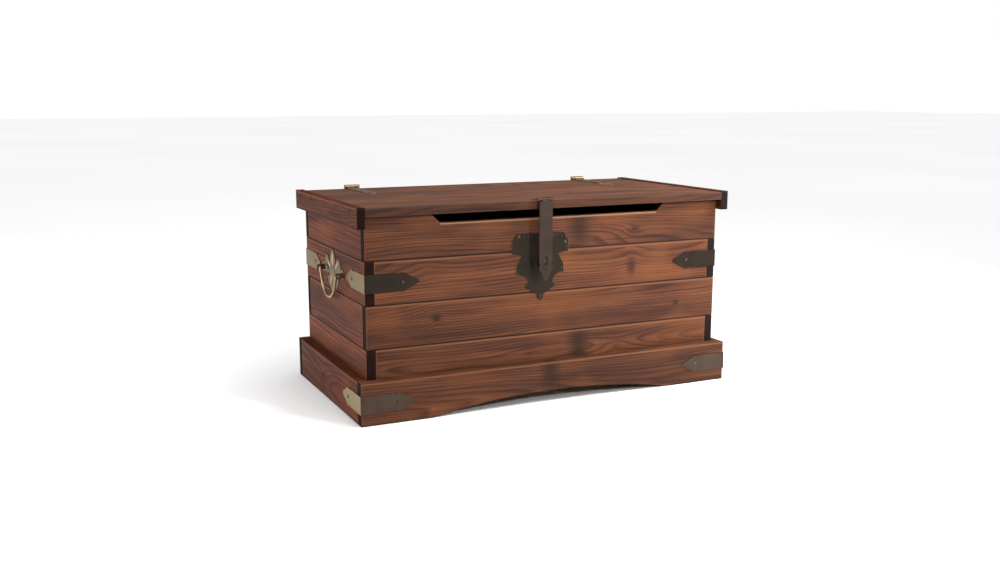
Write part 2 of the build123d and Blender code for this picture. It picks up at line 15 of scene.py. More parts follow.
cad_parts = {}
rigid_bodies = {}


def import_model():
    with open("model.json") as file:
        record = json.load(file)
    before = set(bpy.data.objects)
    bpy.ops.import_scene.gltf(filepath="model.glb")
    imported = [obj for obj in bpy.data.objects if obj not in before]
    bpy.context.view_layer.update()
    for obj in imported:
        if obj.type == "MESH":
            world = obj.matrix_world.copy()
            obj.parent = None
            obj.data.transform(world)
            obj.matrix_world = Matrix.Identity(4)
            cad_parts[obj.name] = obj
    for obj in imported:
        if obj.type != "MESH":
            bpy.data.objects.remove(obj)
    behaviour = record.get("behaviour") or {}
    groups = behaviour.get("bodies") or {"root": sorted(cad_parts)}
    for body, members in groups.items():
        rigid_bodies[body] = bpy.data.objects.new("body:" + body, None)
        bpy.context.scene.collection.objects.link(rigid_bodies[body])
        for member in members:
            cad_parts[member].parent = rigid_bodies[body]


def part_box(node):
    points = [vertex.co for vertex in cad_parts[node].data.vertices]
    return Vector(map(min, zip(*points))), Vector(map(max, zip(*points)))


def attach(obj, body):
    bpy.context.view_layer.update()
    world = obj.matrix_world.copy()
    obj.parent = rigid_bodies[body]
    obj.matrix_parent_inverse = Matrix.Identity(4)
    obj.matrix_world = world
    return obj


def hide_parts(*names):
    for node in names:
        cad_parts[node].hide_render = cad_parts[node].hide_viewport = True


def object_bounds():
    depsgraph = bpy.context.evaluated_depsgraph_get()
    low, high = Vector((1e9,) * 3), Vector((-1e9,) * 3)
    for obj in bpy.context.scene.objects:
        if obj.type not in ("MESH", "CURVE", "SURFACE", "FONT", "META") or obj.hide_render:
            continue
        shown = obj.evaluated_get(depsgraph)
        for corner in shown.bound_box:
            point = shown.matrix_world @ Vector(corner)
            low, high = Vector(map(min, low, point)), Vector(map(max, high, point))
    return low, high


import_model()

cad_low, cad_high = [list(corner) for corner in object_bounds()]
print("the frame is", [round(high - low, 3) for low, high in zip(cad_low, cad_high)], "m")

# %% [markdown]
# ## The camera
# The box is seen from a little left of its front and slightly above the lid, from about two
# and a half metres away. A camera that far off keeps the long edges nearly parallel, as a
# catalogue picture does.

# %% Place the camera
LENS_MM = 38.68
SENSOR_MM = 36.0
CAMERA_PLACE = (-1.1116, -2.2947, 0.6809)
CAMERA_TILT_DEG = 79.58
CAMERA_TURN_DEG = -25.33


def place_camera():
    data = bpy.data.cameras.new("camera")
    data.lens = LENS_MM
    data.sensor_width = SENSOR_MM
    camera = bpy.data.objects.new("camera", data)
    camera.location = CAMERA_PLACE
    camera.rotation_euler = (math.radians(CAMERA_TILT_DEG), 0, math.radians(CAMERA_TURN_DEG))
    bpy.context.scene.collection.objects.link(camera)
    bpy.context.scene.camera = camera


place_camera()
print("camera stands at", CAMERA_PLACE)

# %% [markdown]
# ## Colours and nodes
# Hex colours are written the way a paint chart gives them, but Blender mixes light, which is
# linear, so one function turns the one into the other. A second function adds a node with its
# settings and its links, so that a finish reads as a short list of steps.


# %% Colours and nodes
def linear(hex_colour):
    """The linear colour, with alpha, of a hex colour."""
    shares = [int(hex_colour[at:at + 2], 16) / 255 for at in (1, 3, 5)]
    return [s / 12.92 if s <= 0.04045 else ((s + 0.055) / 1.055) ** 2.4 for s in shares] + [1.0]


MODES = {"Math": "operation", "VectorMath": "operation", "Mix": "data_type",
         "MapRange": "interpolation_type"}


def add(tree, kind, *inputs, **settings):
    """Adds a node and returns its first live output, or the node itself if it has none.

    kind may end in a mode, as in "Math ADD". The inputs fill the live sockets in order, and a
    setting is a property, a named input or a ramp's stops. Each input is a number, a vector, a
    hex colour or another node's output.
    """
    kind, _, mode = kind.partition(" ")
    node = tree.nodes.new("ShaderNode" + kind)
    if mode:
        setattr(node, MODES[kind], mode)
    if "stops" in settings:
        stops = settings.pop("stops")
        elements = node.color_ramp.elements
        while len(elements) < len(stops):
            elements.new(0.5)
        for element, (place, colour) in zip(elements, stops):
            element.position = place
            element.color = linear(colour)
    live = [socket for socket in node.inputs if socket.enabled]
    pairs = list(zip(live, inputs)) + [(node.inputs[key], settings[key]) for key in settings]
    for socket, value in pairs:
        if isinstance(value, bpy.types.NodeSocket):
            tree.links.new(value, socket)
        else:
            socket.default_value = linear(value) if isinstance(value, str) else value
    outputs = [socket for socket in node.outputs if socket.enabled]
    return outputs[0] if outputs else node


def new_finish(name):
    """An empty material, its node tree and its surface shader."""
    material = bpy.data.materials.new(name)
    material.use_nodes = True
    tree = material.node_tree
    return material, tree, tree.nodes["Principled BSDF"]


def dress(node, material):
    """Gives a frame piece its finish in every slot it has."""
    piece = bpy.data.objects[node]
    if not piece.material_slots:
        piece.data.materials.append(material)
    for slot in piece.material_slots:
        slot.material = material


# %% [markdown]
# ## Stained pine
# The boards are planed pine with a brown stain and a thin satin varnish. Pine shows wide
# yearly rings: on the flat of a board they run as streaks and pointed arches, and they bend
# round each knot. Painting that by hand would look the same on every face, so the finish
# grows a tree instead: rings round a trunk that runs along the board, a little below its
# face and not quite straight, and the board is cut from it. The ends then show the same rings.
# Stain soaks deep into end grain, which is nearly black, and wears thin along the arrises.
#
# Everything is measured from the middle of the board, along it, across it and through it, so
# one finish suits boards that lie in any direction.

# %% Measure a board
def board_coordinates(tree, node):
    """Along, across and through a board from its middle, with its half sizes in that order.

    Also how far each face looks along the board, and how far across it.
    """
    low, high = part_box(node)
    size = high - low
    centre = (high + low) / 2
    thick, wide, along = sorted(range(3), key=lambda axis: size[axis])
    order = (along, wide, thick)
    place = add(tree, "TexCoord").node.outputs
    split = add(tree, "SeparateXYZ", place["Object"]).node.outputs
    normal = add(tree, "SeparateXYZ", place["Normal"]).node.outputs
    shares = [add(tree, "Math SUBTRACT", split[axis], centre[axis]) for axis in order]
    facing = [add(tree, "Math ABSOLUTE", normal[axis]) for axis in (along, wide)]
    return shares, [size[axis] / 2 for axis in order], facing


low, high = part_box("front_board_1")
print("the top board of the front measures", [round(side, 3) for side in high - low], "m")

# %% [markdown]
# ### The rings
# A year's growth is 5 mm wide here, which is fast for pine but what this box shows. The trunk
# sways by 50 mm over half a metre. A mark is a knot or a dark smudge: a knot pushes the rings
# apart round it, as a pebble does in a stream, and a smudge only darkens the wood.

# %% Grow the rings
RING_M = 0.0054
HEART_DEPTH_M = 0.045
SWAY_M = 0.05
WANDER_PER_M = (1.7, 7.0, 7.0)
RIPPLE_PER_M = (5.0, 60.0, 60.0)
RIPPLE_RINGS = 0.8
KNOT_REACH = -0.55
KNOT_CORE = (0.1, 1.6)
RING_STOPS = [(0.0, "#404040"), (0.45, "#707070"), (0.85, "#e0e0e0"), (1.0, "#404040")]


def trunk_distance(tree, seeded, shares, look):
    """How far each point is from the middle of a trunk that wanders along the board."""
    along, across, through = shares
    slow = add(tree, "VectorMath MULTIPLY", seeded, WANDER_PER_M)
    wander = add(tree, "TexNoise", slow, Scale=1.0, Detail=1.0).node.outputs
    sway = add(tree, "SeparateColor", wander["Color"]).node.outputs
    side = add(tree, "Math MULTIPLY_ADD", sway[0], SWAY_M, look["shift_m"] - SWAY_M / 2)
    side = add(tree, "Math ADD", side, across)
    depth = add(tree, "Math MULTIPLY_ADD", sway[1], SWAY_M, look["heart"] - SWAY_M / 2)
    depth = add(tree, "Math ADD", depth, add(tree, "Math MULTIPLY", along, look["slope"]))
    depth = add(tree, "Math ADD", depth, add(tree, "Math MULTIPLY", through, -1.0))
    offset = add(tree, "CombineXYZ", 0.0, side, depth)
    return add(tree, "VectorMath LENGTH", offset).node.outputs["Value"]


def mark_distance(tree, shares, halves, share_along, share_across, long_radius, short_radius):
    """How far each point is from the middle of a mark, counted in the mark's own radii."""
    right = add(tree, "Math SUBTRACT", shares[0], (share_along - 0.5) * 2 * halves[0])
    up = add(tree, "Math SUBTRACT", shares[1], (share_across - 0.5) * 2 * halves[1])
    right = add(tree, "Math DIVIDE", right, long_radius)
    up = add(tree, "Math DIVIDE", up, short_radius)
    flat = add(tree, "CombineXYZ", right, up)
    return add(tree, "VectorMath LENGTH", flat).node.outputs["Value"]


def yearly_rings(tree, seeded, shares, halves, look):
    """The tone of the rings, pale early wood to dark late wood, and the marks' darkness."""
    phase = add(tree, "Math DIVIDE", trunk_distance(tree, seeded, shares, look), RING_M)
    darkness = 0.0
    for *place, dark, swirl in look["marks"]:
        away = mark_distance(tree, shares, halves, *place)
        if swirl:
            bend = add(tree, "Math EXPONENT", add(tree, "Math MULTIPLY", away, KNOT_REACH))
            phase = add(tree, "Math MULTIPLY_ADD", bend, swirl, phase)
        if dark:
            core = add(tree, "MapRange SMOOTHSTEP", away, *KNOT_CORE, 1.0, 0.0)
            core = add(tree, "Math MULTIPLY", core, dark)
            darkness = add(tree, "Math MAXIMUM", darkness, core)
    place = add(tree, "VectorMath MULTIPLY", seeded, RIPPLE_PER_M)
    ripple = add(tree, "TexNoise", place, Scale=1.0, Detail=2.0)
    phase = add(tree, "Math MULTIPLY_ADD", ripple, RIPPLE_RINGS, phase)
    return add(tree, "ValToRGB", add(tree, "Math FRACT", phase), stops=RING_STOPS), darkness


print("one ring is", RING_M * 1000, "mm wide")

# %% [markdown]
# ### The stain
# Fibres and pores are a tenth of a millimetre wide, too fine to show, so they are drawn as
# bundles 3 mm wide. The stain lies thicker in some stretches than in others, and where it is
# thin the pine's own orange comes through.

# %% Stain the grain
STREAK_M = 0.003
FIBRE_PER_M = (5.0, 1 / STREAK_M, 1 / STREAK_M)
PATCH_PER_M = (2.6, 22.0, 22.0)
WARM_PER_M = (5.5, 13.0, 13.0)
RING_WEIGHT, FIBRE_WEIGHT, PATCH_WEIGHT = 0.28, 0.5, 0.62
GRAIN_CONTRAST = 1.25
GRAIN_MIDDLE = 0.7
WARM_SHARE = 0.35
PINE_STOPS = [(0.0, "#8a5331"), (0.25, "#693c21"), (0.5, "#482616"), (0.75, "#2f180f"),
              (1.0, "#1d0e09")]
THIN_STAIN = "#7c4722"
DARK_WOOD = "#1d0f0a"


def grain_tone(tree, seeded, ring):
    """Rings, fibres and thick stain in one tone, pale to dark, and the fibres alone."""
    place = add(tree, "VectorMath MULTIPLY", seeded, FIBRE_PER_M)
    fibre = add(tree, "TexNoise", place, Scale=1.0, Detail=3.0, Roughness=0.6)
    place = add(tree, "VectorMath MULTIPLY", seeded, PATCH_PER_M)
    patch = add(tree, "TexNoise", place, Scale=1.0, Detail=2.0)
    tone = add(tree, "Math MULTIPLY", ring, RING_WEIGHT)
    tone = add(tree, "Math MULTIPLY_ADD", fibre, FIBRE_WEIGHT, tone)
    tone = add(tree, "Math MULTIPLY_ADD", patch, PATCH_WEIGHT, tone)
    darkest = 0.5 - GRAIN_MIDDLE * GRAIN_CONTRAST
    return add(tree, "Math MULTIPLY_ADD", tone, GRAIN_CONTRAST, darkest), fibre


def stain_colour(tree, seeded, tone, darkness, look):
    """The stain's colour, warm where it is thin and nearly black in the marks."""
    colour = add(tree, "ValToRGB", tone, stops=PINE_STOPS)
    place = add(tree, "VectorMath MULTIPLY", seeded, WARM_PER_M)
    warm = add(tree, "TexNoise", place, Scale=1.0, Detail=1.0, Distortion=0.4)
    warm = add(tree, "MapRange SMOOTHSTEP", warm, 0.52, 0.72, 0.0, WARM_SHARE)
    colour = add(tree, "Mix RGBA", warm, colour, THIN_STAIN)
    colour = add(tree, "Mix RGBA", darkness, colour, DARK_WOOD)
    return add(tree, "HueSaturation", Color=colour, Hue=0.5 - look["red"], Value=look["light"])


print("the stain runs through", len(PINE_STOPS), "browns")

# %% [markdown]
# ### Wear, painted shade and painted highlights
# Hands and cloths rub the stain off the arrises, most of all where a fibre stands proud. The
# grooves between boards are painted dark, a painted shade, and the arris below a groove gets a
# painted highlight. On the top board of the front, the lower lip of the scoop for the hand gets
# a painted highlight, and the board's upper edge a painted shadow from the lid.

# %% Wear the edges, and paint their shade and highlights
ARRIS_M = 0.0026
SEAM_M = 0.0019
LID_SHADE_M = 0.0035
# Colours of the rubbed arrises, and of the painted highlights and painted shade at the seams,
# the scoop and the lid
RUBBED_AND_HIGHLIGHT = "#7a4a2c"
LIP_HIGHLIGHT = "#b58a70"
PAINTED_SHADE = "#0c0604"
END_GRAIN = "#0f0a0b"


def rub_arrises(tree, colour, shares, halves, fibre):
    """Pale wood along a board's edges, broken up by its fibres."""
    gaps = [add(tree, "Math SUBTRACT", half, add(tree, "Math ABSOLUTE", share))
            for share, half in zip(shares, halves)]
    nearer = add(tree, "Math MINIMUM", gaps[1], gaps[2])
    further = add(tree, "Math MAXIMUM", gaps[1], gaps[2])
    edge = add(tree, "Math MAXIMUM", nearer, add(tree, "Math MINIMUM", gaps[0], further))
    edge = add(tree, "MapRange SMOOTHSTEP", edge, 0.6 * ARRIS_M, 1.5 * ARRIS_M, 1.0, 0.0)
    proud = add(tree, "MapRange SMOOTHSTEP", fibre, 0.35, 0.6, 0.0, 0.55)
    return add(tree, "Mix RGBA", add(tree, "Math MULTIPLY", edge, proud), colour, RUBBED_AND_HIGHLIGHT)


def darken_seams(tree, colour, above, below, broad):
    """Painted shade in the grooves over and under a board, and a painted highlight, a light
    line, under the upper one.
    """
    low = add(tree, "MapRange SMOOTHSTEP", below, SEAM_M, 2.0 * SEAM_M, 0.9, 0.0)
    top = add(tree, "MapRange SMOOTHSTEP", above, 0.3 * SEAM_M, SEAM_M, 0.9, 0.0)
    # painted shade: the board is darkened along its top and bottom edges, in the grooves
    seam = add(tree, "Math MULTIPLY", add(tree, "Math MAXIMUM", low, top), broad)
    line = add(tree, "Math ABSOLUTE", add(tree, "Math SUBTRACT", above, 1.8 * SEAM_M))
    line = add(tree, "MapRange SMOOTHSTEP", line, 0.5 * SEAM_M, 1.5 * SEAM_M, 0.55, 0.0)
    line = add(tree, "Math MULTIPLY", line, broad)
    # painted highlight: a light line on the arris under the upper board
    colour = add(tree, "Mix RGBA", line, colour, RUBBED_AND_HIGHLIGHT)
    return add(tree, "Mix RGBA", seam, colour, PAINTED_SHADE)


def paint_scoop_lip_and_lid_shadow(tree, colour, along, above, drop, reach):
    """A painted highlight on the lip of the hand scoop, and a painted shadow that the lid throws
    beside it.
    """
    lip = add(tree, "Math ABSOLUTE", add(tree, "Math SUBTRACT", above, drop + SEAM_M))
    lip = add(tree, "MapRange SMOOTHSTEP", lip, 0.5 * SEAM_M, 1.4 * SEAM_M, 0.5, 0.0)
    away = add(tree, "Math ABSOLUTE", along)
    inside = add(tree, "MapRange SMOOTHSTEP", away, reach, reach + SEAM_M, 1.0, 0.0)
    lip = add(tree, "Math MULTIPLY", lip, inside)
    # painted highlight along the lower lip of the scoop
    colour = add(tree, "Mix RGBA", lip, colour, LIP_HIGHLIGHT)
    # painted shadow of the lid across the board's upper edge
    shade = add(tree, "MapRange SMOOTHSTEP", above, LID_SHADE_M, 2 * LID_SHADE_M, 0.8, 0.0)
    return add(tree, "Mix RGBA", shade, colour, PAINTED_SHADE)


print("arrises are rubbed over", ARRIS_M * 1000, "mm")

# %% [markdown]
# ### One board's finish
# The steps above are joined here. Planed faces are satin; end grain and the narrow sawn edges
# are rougher. The varnish is thin, so the specular level is below the usual 0.5, and highest on
# the lid, where it lies thickest. The raised fibres are drawn as a bump of half a millimetre.

# %% Stained pine
SEED_STEP = (1.37, 0.71, 0.43)
SATIN, FIBRE_ROUGH, SAWN_ROUGH = 0.42, 0.22, 0.4
USUAL_LOOK = {"light": 0.8, "red": 0.0, "marks": (), "slope": 0.02, "shift_m": 0.0,
              "heart": HEART_DEPTH_M, "gloss": 0.15, "edge_shade": 0.0, "scoop": None}


def stained_pine(node, seed, look):
    """Stained pine for one board. look says how it differs from the usual board.

    Each of its marks is a share along, a share across, two radii, a darkness and a swirl.
    """
    look = {**USUAL_LOOK, **look}
    material, tree, shader = new_finish("Stained pine " + node)
    shares, halves, (end_on, edge_on) = board_coordinates(tree, node)
    along, across, _ = shares
    point = add(tree, "CombineXYZ", *shares)
    seeded = add(tree, "VectorMath ADD", point, [seed * step for step in SEED_STEP])
    ring, darkness = yearly_rings(tree, seeded, shares, halves, look)
    tone, fibre = grain_tone(tree, seeded, ring)
    colour = stain_colour(tree, seeded, tone, darkness, look)

    above = add(tree, "Math SUBTRACT", halves[1], across)
    below = add(tree, "Math ADD", across, halves[1])
    broad = add(tree, "MapRange SMOOTHSTEP", edge_on, 0.8, 0.95, 1.0, 0.0)
    narrow = add(tree, "Math SUBTRACT", 1.0, broad)
    ends = add(tree, "MapRange SMOOTHSTEP", end_on, 0.5, 0.75, 0.0, 1.0)
    colour = rub_arrises(tree, colour, shares, halves, fibre)
    colour = darken_seams(tree, colour, above, below, broad)
    # painted shade: the narrow edges of a board are darkened, as if out of the light
    if look["edge_shade"]:
        shade = add(tree, "Math MULTIPLY", narrow, look["edge_shade"])
        colour = add(tree, "Mix RGBA", shade, colour, DARK_WOOD)
    if look["scoop"]:
        colour = paint_scoop_lip_and_lid_shadow(tree, colour, along, above, *look["scoop"])
    dark_ends = add(tree, "Mix RGBA", 0.94, colour, END_GRAIN)
    colour = add(tree, "Mix RGBA", ends, colour, dark_ends)
    tree.links.new(colour, shader.inputs["Base Color"])

    shader.inputs["Specular IOR Level"].default_value = look["gloss"]
    rough = add(tree, "Math MULTIPLY_ADD", fibre, FIBRE_ROUGH, SATIN)
    sawn = add(tree, "Math MAXIMUM", ends, narrow)
    rough = add(tree, "Math MULTIPLY_ADD", sawn, SAWN_ROUGH, rough)
    tree.links.new(rough, shader.inputs["Roughness"])
    relief = add(tree, "Math MULTIPLY_ADD", ring, -0.4, fibre)
    bump = add(tree, "Bump", Strength=0.35, Distance=0.0006, Height=relief)
    tree.links.new(bump, shader.inputs["Normal"])
    return material


print("a usual board is", USUAL_LOOK)

# %% [markdown]
# ### Each board its own
# No two boards come from the same place in a tree. The five that face the front have their
# knots and smudges where the real box has them; the others get theirs from their number. The
# boards at the two ends are a little redder, and those at the left end are less glossy.

# %% Stain the boards
SCOOP_DEPTH_M = 0.0205
SCOOP_REACH_M = 0.267
BOARD_LOOKS = {
    "front_board_1": {
        "light": 0.88, "shift_m": 0.06, "scoop": (SCOOP_DEPTH_M, SCOOP_REACH_M),
        "marks": [(0.575, 0.5, 0.030, 0.055, 0.75, 0.0), (0.74, 0.35, 0.016, 0.009, 0.5, 2.2)],
    },
    "front_board_2": {
        "light": 0.86, "shift_m": -0.05,
        "marks": [(0.745, 0.45, 0.012, 0.02, 0.7, 1.6), (0.14, 0.75, 0.05, 0.02, 0.0, 2.5)],
    },
    "front_board_3": {
        "heart": 0.03, "slope": 0.03,
        "marks": [(0.18, 0.6, 0.012, 0.010, 0.75, 3.0), (0.877, 0.43, 0.009, 0.008, 0.7, 2.0)],
    },
    "front_board_4": {
        "light": 0.78, "heart": 0.02, "slope": -0.02,
        "marks": [(0.58, 0.6, 0.026, 0.06, 0.75, 0.0), (0.70, 0.5, 0.05, 0.016, 0.0, 3.5)],
    },
    "plinth_front": {
        "light": 0.68, "shift_m": 0.03,
        "marks": [(0.485, 0.8, 0.024, 0.05, 0.7, 0.0)],
    },
}
WALLS = [f"{side}_board_{course}" for side in ("front", "back", "left", "right")
         for course in (1, 2, 3, 4)]
PLINTHS = ["plinth_" + side for side in ("front", "back", "left", "right")]
LIDS = [f"lid_board_{at}" for at in (1, 2, 3, 4, 5)] + ["lid_cleat_left", "lid_cleat_right"]


def board_look(node, seed):
    """What a board's place on the box, and its number, make of it."""
    look = {"shift_m": 0.06 * math.sin(seed * 2.1), "light": 0.8 + 0.05 * math.sin(seed * 3.7)}
    if node.startswith("left") or node.endswith("left"):
        look.update(light=1.0, red=0.010, gloss=0.06)
    if node.startswith("right") or node.endswith("right"):
        look.update(light=0.72, red=0.006)
    # painted sheen: the lid boards are made lighter than the walls, and their narrow edges get
    # painted shade
    if node.startswith("lid_board"):
        look.update(light=1.08, gloss=0.3, edge_shade=0.62)
    if seed % 3 == 0:
        look["marks"] = [(0.3 + 0.4 * math.sin(seed) ** 2, 0.5, 0.012, 0.009, 0.7, 2.5)]
    return {**look, **BOARD_LOOKS.get(node, {})}


for seed, node in enumerate(WALLS + PLINTHS + LIDS, start=3):
    dress(node, stained_pine(node, seed, board_look(node, seed)))
print("stained", len(WALLS + PLINTHS + LIDS), "boards")

# %% [markdown]
# ## Plain pine
# The floor and the three bearers under it are never seen from outside, so the maker left them
# unstained: pale yellow pine, the same tree without the stain.

# %% Plain pine
PLAIN_FIBRE_PER_M = (4.0, 110.0, 110.0)
PLAIN_STOPS = [(0.3, "#d8b684"), (0.7, "#b98d58")]


def plain_pine(node, seed):
    """Bare planed pine: pale, dry and rough."""
    material, tree, shader = new_finish("Plain pine " + node)
    shares, _, _ = board_coordinates(tree, node)
    point = add(tree, "CombineXYZ", *shares)
    seeded = add(tree, "VectorMath ADD", point, (seed, seed * 0.7, 0.0))
    place = add(tree, "VectorMath MULTIPLY", seeded, PLAIN_FIBRE_PER_M)
    fibre = add(tree, "TexNoise", place, Scale=1.0, Detail=3.0)
    colour = add(tree, "ValToRGB", fibre, stops=PLAIN_STOPS)
    tree.links.new(colour, shader.inputs["Base Color"])
    tree.links.new(add(tree, "Math MULTIPLY_ADD", fibre, 0.2, 0.5), shader.inputs["Roughness"])
    bump = add(tree, "Bump", Strength=0.3, Distance=0.0005, Height=fibre)
    tree.links.new(bump, shader.inputs["Normal"])
    return material


PLAIN = ["floor_panel", "floor_bearer_left", "floor_bearer_middle", "floor_bearer_right"]
for seed, node in enumerate(PLAIN):
    dress(node, plain_pine(node, seed))
print("left", len(PLAIN), "pieces unstained")

# %% [markdown]
# ## Bronzed and brassed steel
# The brackets, plate, hasp and hinges are thin pressed steel, plated and then darkened to look
# like old bronze, so the metal is a satin brown that shines khaki where light catches it. The
# patina is drawn as clouds some 35 mm wide with 4 mm specks in them. The leaves that wrap round
# to the ends of the box are painted pale khaki, a painted sheen for the light they catch.


# %% Plated metal
CLOUDS_PER_M = 28.0
SPECK_M = 0.004
PLATED_METALLIC = 0.85


def plated_metal(name, light, dark, rough, seed=1.0, ends=None):
    """Plated metal with a cloudy patina, light and dark hex colours and a roughness.

    ends is a pale colour painted on the faces towards the box's two ends, a painted sheen.
    """
    material, tree, shader = new_finish(name)
    place = add(tree, "TexCoord").node.outputs
    seeded = add(tree, "VectorMath ADD", place["Object"], (seed, seed * 0.3, 0.0))
    cloud = add(tree, "TexNoise", seeded, Scale=CLOUDS_PER_M, Detail=3.0)
    fine = add(tree, "TexNoise", seeded, Scale=1 / SPECK_M, Detail=2.0)
    mixed = add(tree, "Math MULTIPLY_ADD", cloud, 0.7, add(tree, "Math MULTIPLY", fine, 0.3))
    colour = add(tree, "ValToRGB", mixed, stops=[(0.32, dark), (0.68, light)])
    # painted sheen: faces that look towards the box's ends are painted pale khaki
    if ends:
        painted_sheen_mask = add(tree, "SeparateXYZ", place["Normal"])
        painted_sheen_mask = add(tree, "Math ABSOLUTE", painted_sheen_mask)
        painted_sheen_mask = add(tree, "MapRange SMOOTHSTEP", painted_sheen_mask, 0.4, 0.8, 0.0, 1.0)
        colour = add(tree, "Mix RGBA", painted_sheen_mask, colour, ends)
    tree.links.new(colour, shader.inputs["Base Color"])
    shader.inputs["Metallic"].default_value = PLATED_METALLIC
    patchy = add(tree, "Math MULTIPLY_ADD", fine, 0.2, rough - 0.1)
    tree.links.new(patchy, shader.inputs["Roughness"])
    bump = add(tree, "Bump", Strength=0.25, Distance=0.0004, Height=mixed)
    tree.links.new(bump, shader.inputs["Normal"])
    return material


# Stamped steel, bronzed and lacquered: dark brown, satin.
# ends, here and below, is a painted sheen on the leaves that face the box's ends
BRONZE = plated_metal("Bronzed steel", "#2b221a", "#221a15", 0.5, ends="#776648")
# The same, handled and rubbed: greyer and a little brighter.
WORN_BRONZE = plated_metal("Worn bronzed steel", "#493b31", "#3d3028", 0.46, seed=2.0,
                           ends="#93815f")
STRAP_BRONZE = plated_metal("Rubbed bronzed steel", "#3d3028", "#2f251f", 0.48, seed=3.0)
# Brass plated sheet, darkened in its hollows: olive with a soft shine.
BRASS = plated_metal("Antique brass plate", "#9c8762", "#54442f", 0.4, seed=4.0)
DARK_BRASS = plated_metal("Darkened brass plate", "#7f6b4b", "#2c2218", 0.42, seed=6.0)
# Bent rod and raised leaves, where hands keep the plate bright and pinkish.
COPPER_BRASS = plated_metal("Copper toned brass", "#b59878", "#8a6f55", 0.36, seed=5.0)
# Drawn wire, left plain: dull grey.
STEEL = plated_metal("Dull steel", "#6b655c", "#45403a", 0.4, seed=7.0)
# Nail heads, struck and darkened: brown with worn crowns.
NAIL = plated_metal("Dark nail steel", "#5d4c3c", "#2e251e", 0.4, seed=9.0)
print("mixed eight metal finishes")

# %% Plate the metal pieces
METAL_NODES = {
    BRONZE: ["bracket_front_left", "bracket_front_right", "bracket_back_left",
             "bracket_back_right", "hasp_plate"],
    WORN_BRONZE: ["plinth_bracket_left", "plinth_bracket_right", "hasp_leaf"],
    STRAP_BRONZE: ["hasp_strap"],
    BRASS: ["hinge_strap_left", "hinge_strap_right", "hinge_leaf_left", "hinge_leaf_right"],
    DARK_BRASS: ["handle_plate_left", "handle_plate_right"],
    COPPER_BRASS: ["bail_left", "bail_right"],
    STEEL: ["hasp_pin", "hinge_pins", "hasp_staple"],
    NAIL: ["cleat_nails", "corner_nails", "bracket_nails", "hasp_plate_nails",
           "hasp_leaf_nails", "handle_nails", "hinge_strap_nails", "hinge_leaf_nails"],
}
for material, nodes in METAL_NODES.items():
    for node in nodes:
        dress(node, material)
print("plated", sum(len(nodes) for nodes in METAL_NODES.values()), "metal pieces")

# %% [markdown]
# ## Helpers for new pieces
# An operator acts on everything that is selected, so each piece starts with nothing selected.
# A finished piece gets its material and the body that it moves with, and the frame pieces
# that it stands for are hidden.

# %% Helpers for new pieces
TOUCHING_M = 1e-6
ROUND_DEG = 50


def select_nothing():
    if bpy.context.mode != "OBJECT":
        bpy.ops.object.mode_set(mode="OBJECT")
    bpy.ops.object.select_all(action="DESELECT")


def join_pieces(pieces, name):
    """Several meshes made one piece, smooth but for its sharper edges."""
    select_nothing()
    for piece in pieces:
        piece.select_set(True)
    bpy.context.view_layer.objects.active = pieces[0]
    bpy.ops.object.join()
    bpy.context.object.name = name
    bpy.ops.object.shade_smooth_by_angle(angle=math.radians(ROUND_DEG))
    return bpy.context.object


def finish(piece, body, slot, material, *nodes):
    """Gives a new piece its finish and its body, and hides the frame pieces it stands for; slot
    is not used.
    """
    piece.data.materials.clear()
    piece.data.materials.append(material)
    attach(piece, body)
    if nodes:
        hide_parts(*nodes)


select_nothing()
print("selected:", len(bpy.context.selected_objects), "objects")

# %% [markdown]
# ## Nails with hammered domes
# Each fitting is held by small round-headed nails. The frame draws a head as a plain cone; a
# real one is a low dome with a thin rim. One nail is modelled by pushing a small disc up
# through the steps of its outline and scaling it at each, and is then copied to every place
# where the frame has a nail. The frame also tells which way each nail points.

# %% Find the nails
NAIL_DOME_M = 0.0017


def islands(node):
    """The vertices of each separate solid in a frame piece."""
    grid = bmesh.new()
    grid.from_mesh(bpy.data.objects[node].data)
    bmesh.ops.remove_doubles(grid, verts=grid.verts, dist=TOUCHING_M)
    left, groups = set(grid.verts), []
    while left:
        queue = [left.pop()]
        group = []
        while queue:
            point = queue.pop()
            group.append(point.co.copy())
            for edge in point.link_edges:
                other = edge.other_vert(point)
                if other in left:
                    left.remove(other)
                    queue.append(other)
        groups.append(group)
    grid.free()
    return groups


def off_axis(point, centre, out):
    """How far a point is from the line through centre along out."""
    return (point - centre - out * (point - centre).dot(out)).length


def nail_setting(points):
    """A nail's place on the plate, outward direction, length and head radius."""
    low = Vector([min(p[axis] for p in points) for axis in range(3)])
    high = Vector([max(p[axis] for p in points) for axis in range(3)])
    centre = (low + high) / 2
    axis = max(range(3), key=lambda at: high[at] - low[at])
    out = Vector([1.0 if at == axis else 0.0 for at in range(3)])
    head = max(off_axis(p, centre, out) for p in points)
    rim = [p for p in points if off_axis(p, centre, out) > 0.95 * head]
    if sum((p - centre).dot(out) for p in rim) < 0:
        out = -out
    tip = max((p - centre).dot(out) for p in points)
    return centre + out * (tip - NAIL_DOME_M), out, 2 * tip - NAIL_DOME_M, head


print("bracket_nails holds", len(islands("bracket_nails")), "nails")


# %% Model one nail
NAIL_SIDES = 16
DOME_STEPS = 4
SHANK_SHARE = 0.36
RIM_SHARE = 0.2


def nail_outline(length, head):
    """Radius and height at each step of a nail's outline, from its point up."""
    shank = SHANK_SHARE * head
    steps = [(RIM_SHARE * shank, -length), (shank, -length + 2 * shank), (shank, 0.0),
             (head, 0.0), (head, RIM_SHARE * NAIL_DOME_M)]
    for step in range(1, DOME_STEPS + 1):
        turn = math.radians(90 * step / (DOME_STEPS + 0.6))
        rise = RIM_SHARE + (1 - RIM_SHARE) * math.sin(turn)
        steps.append((head * math.cos(turn), NAIL_DOME_M * rise))
    return steps


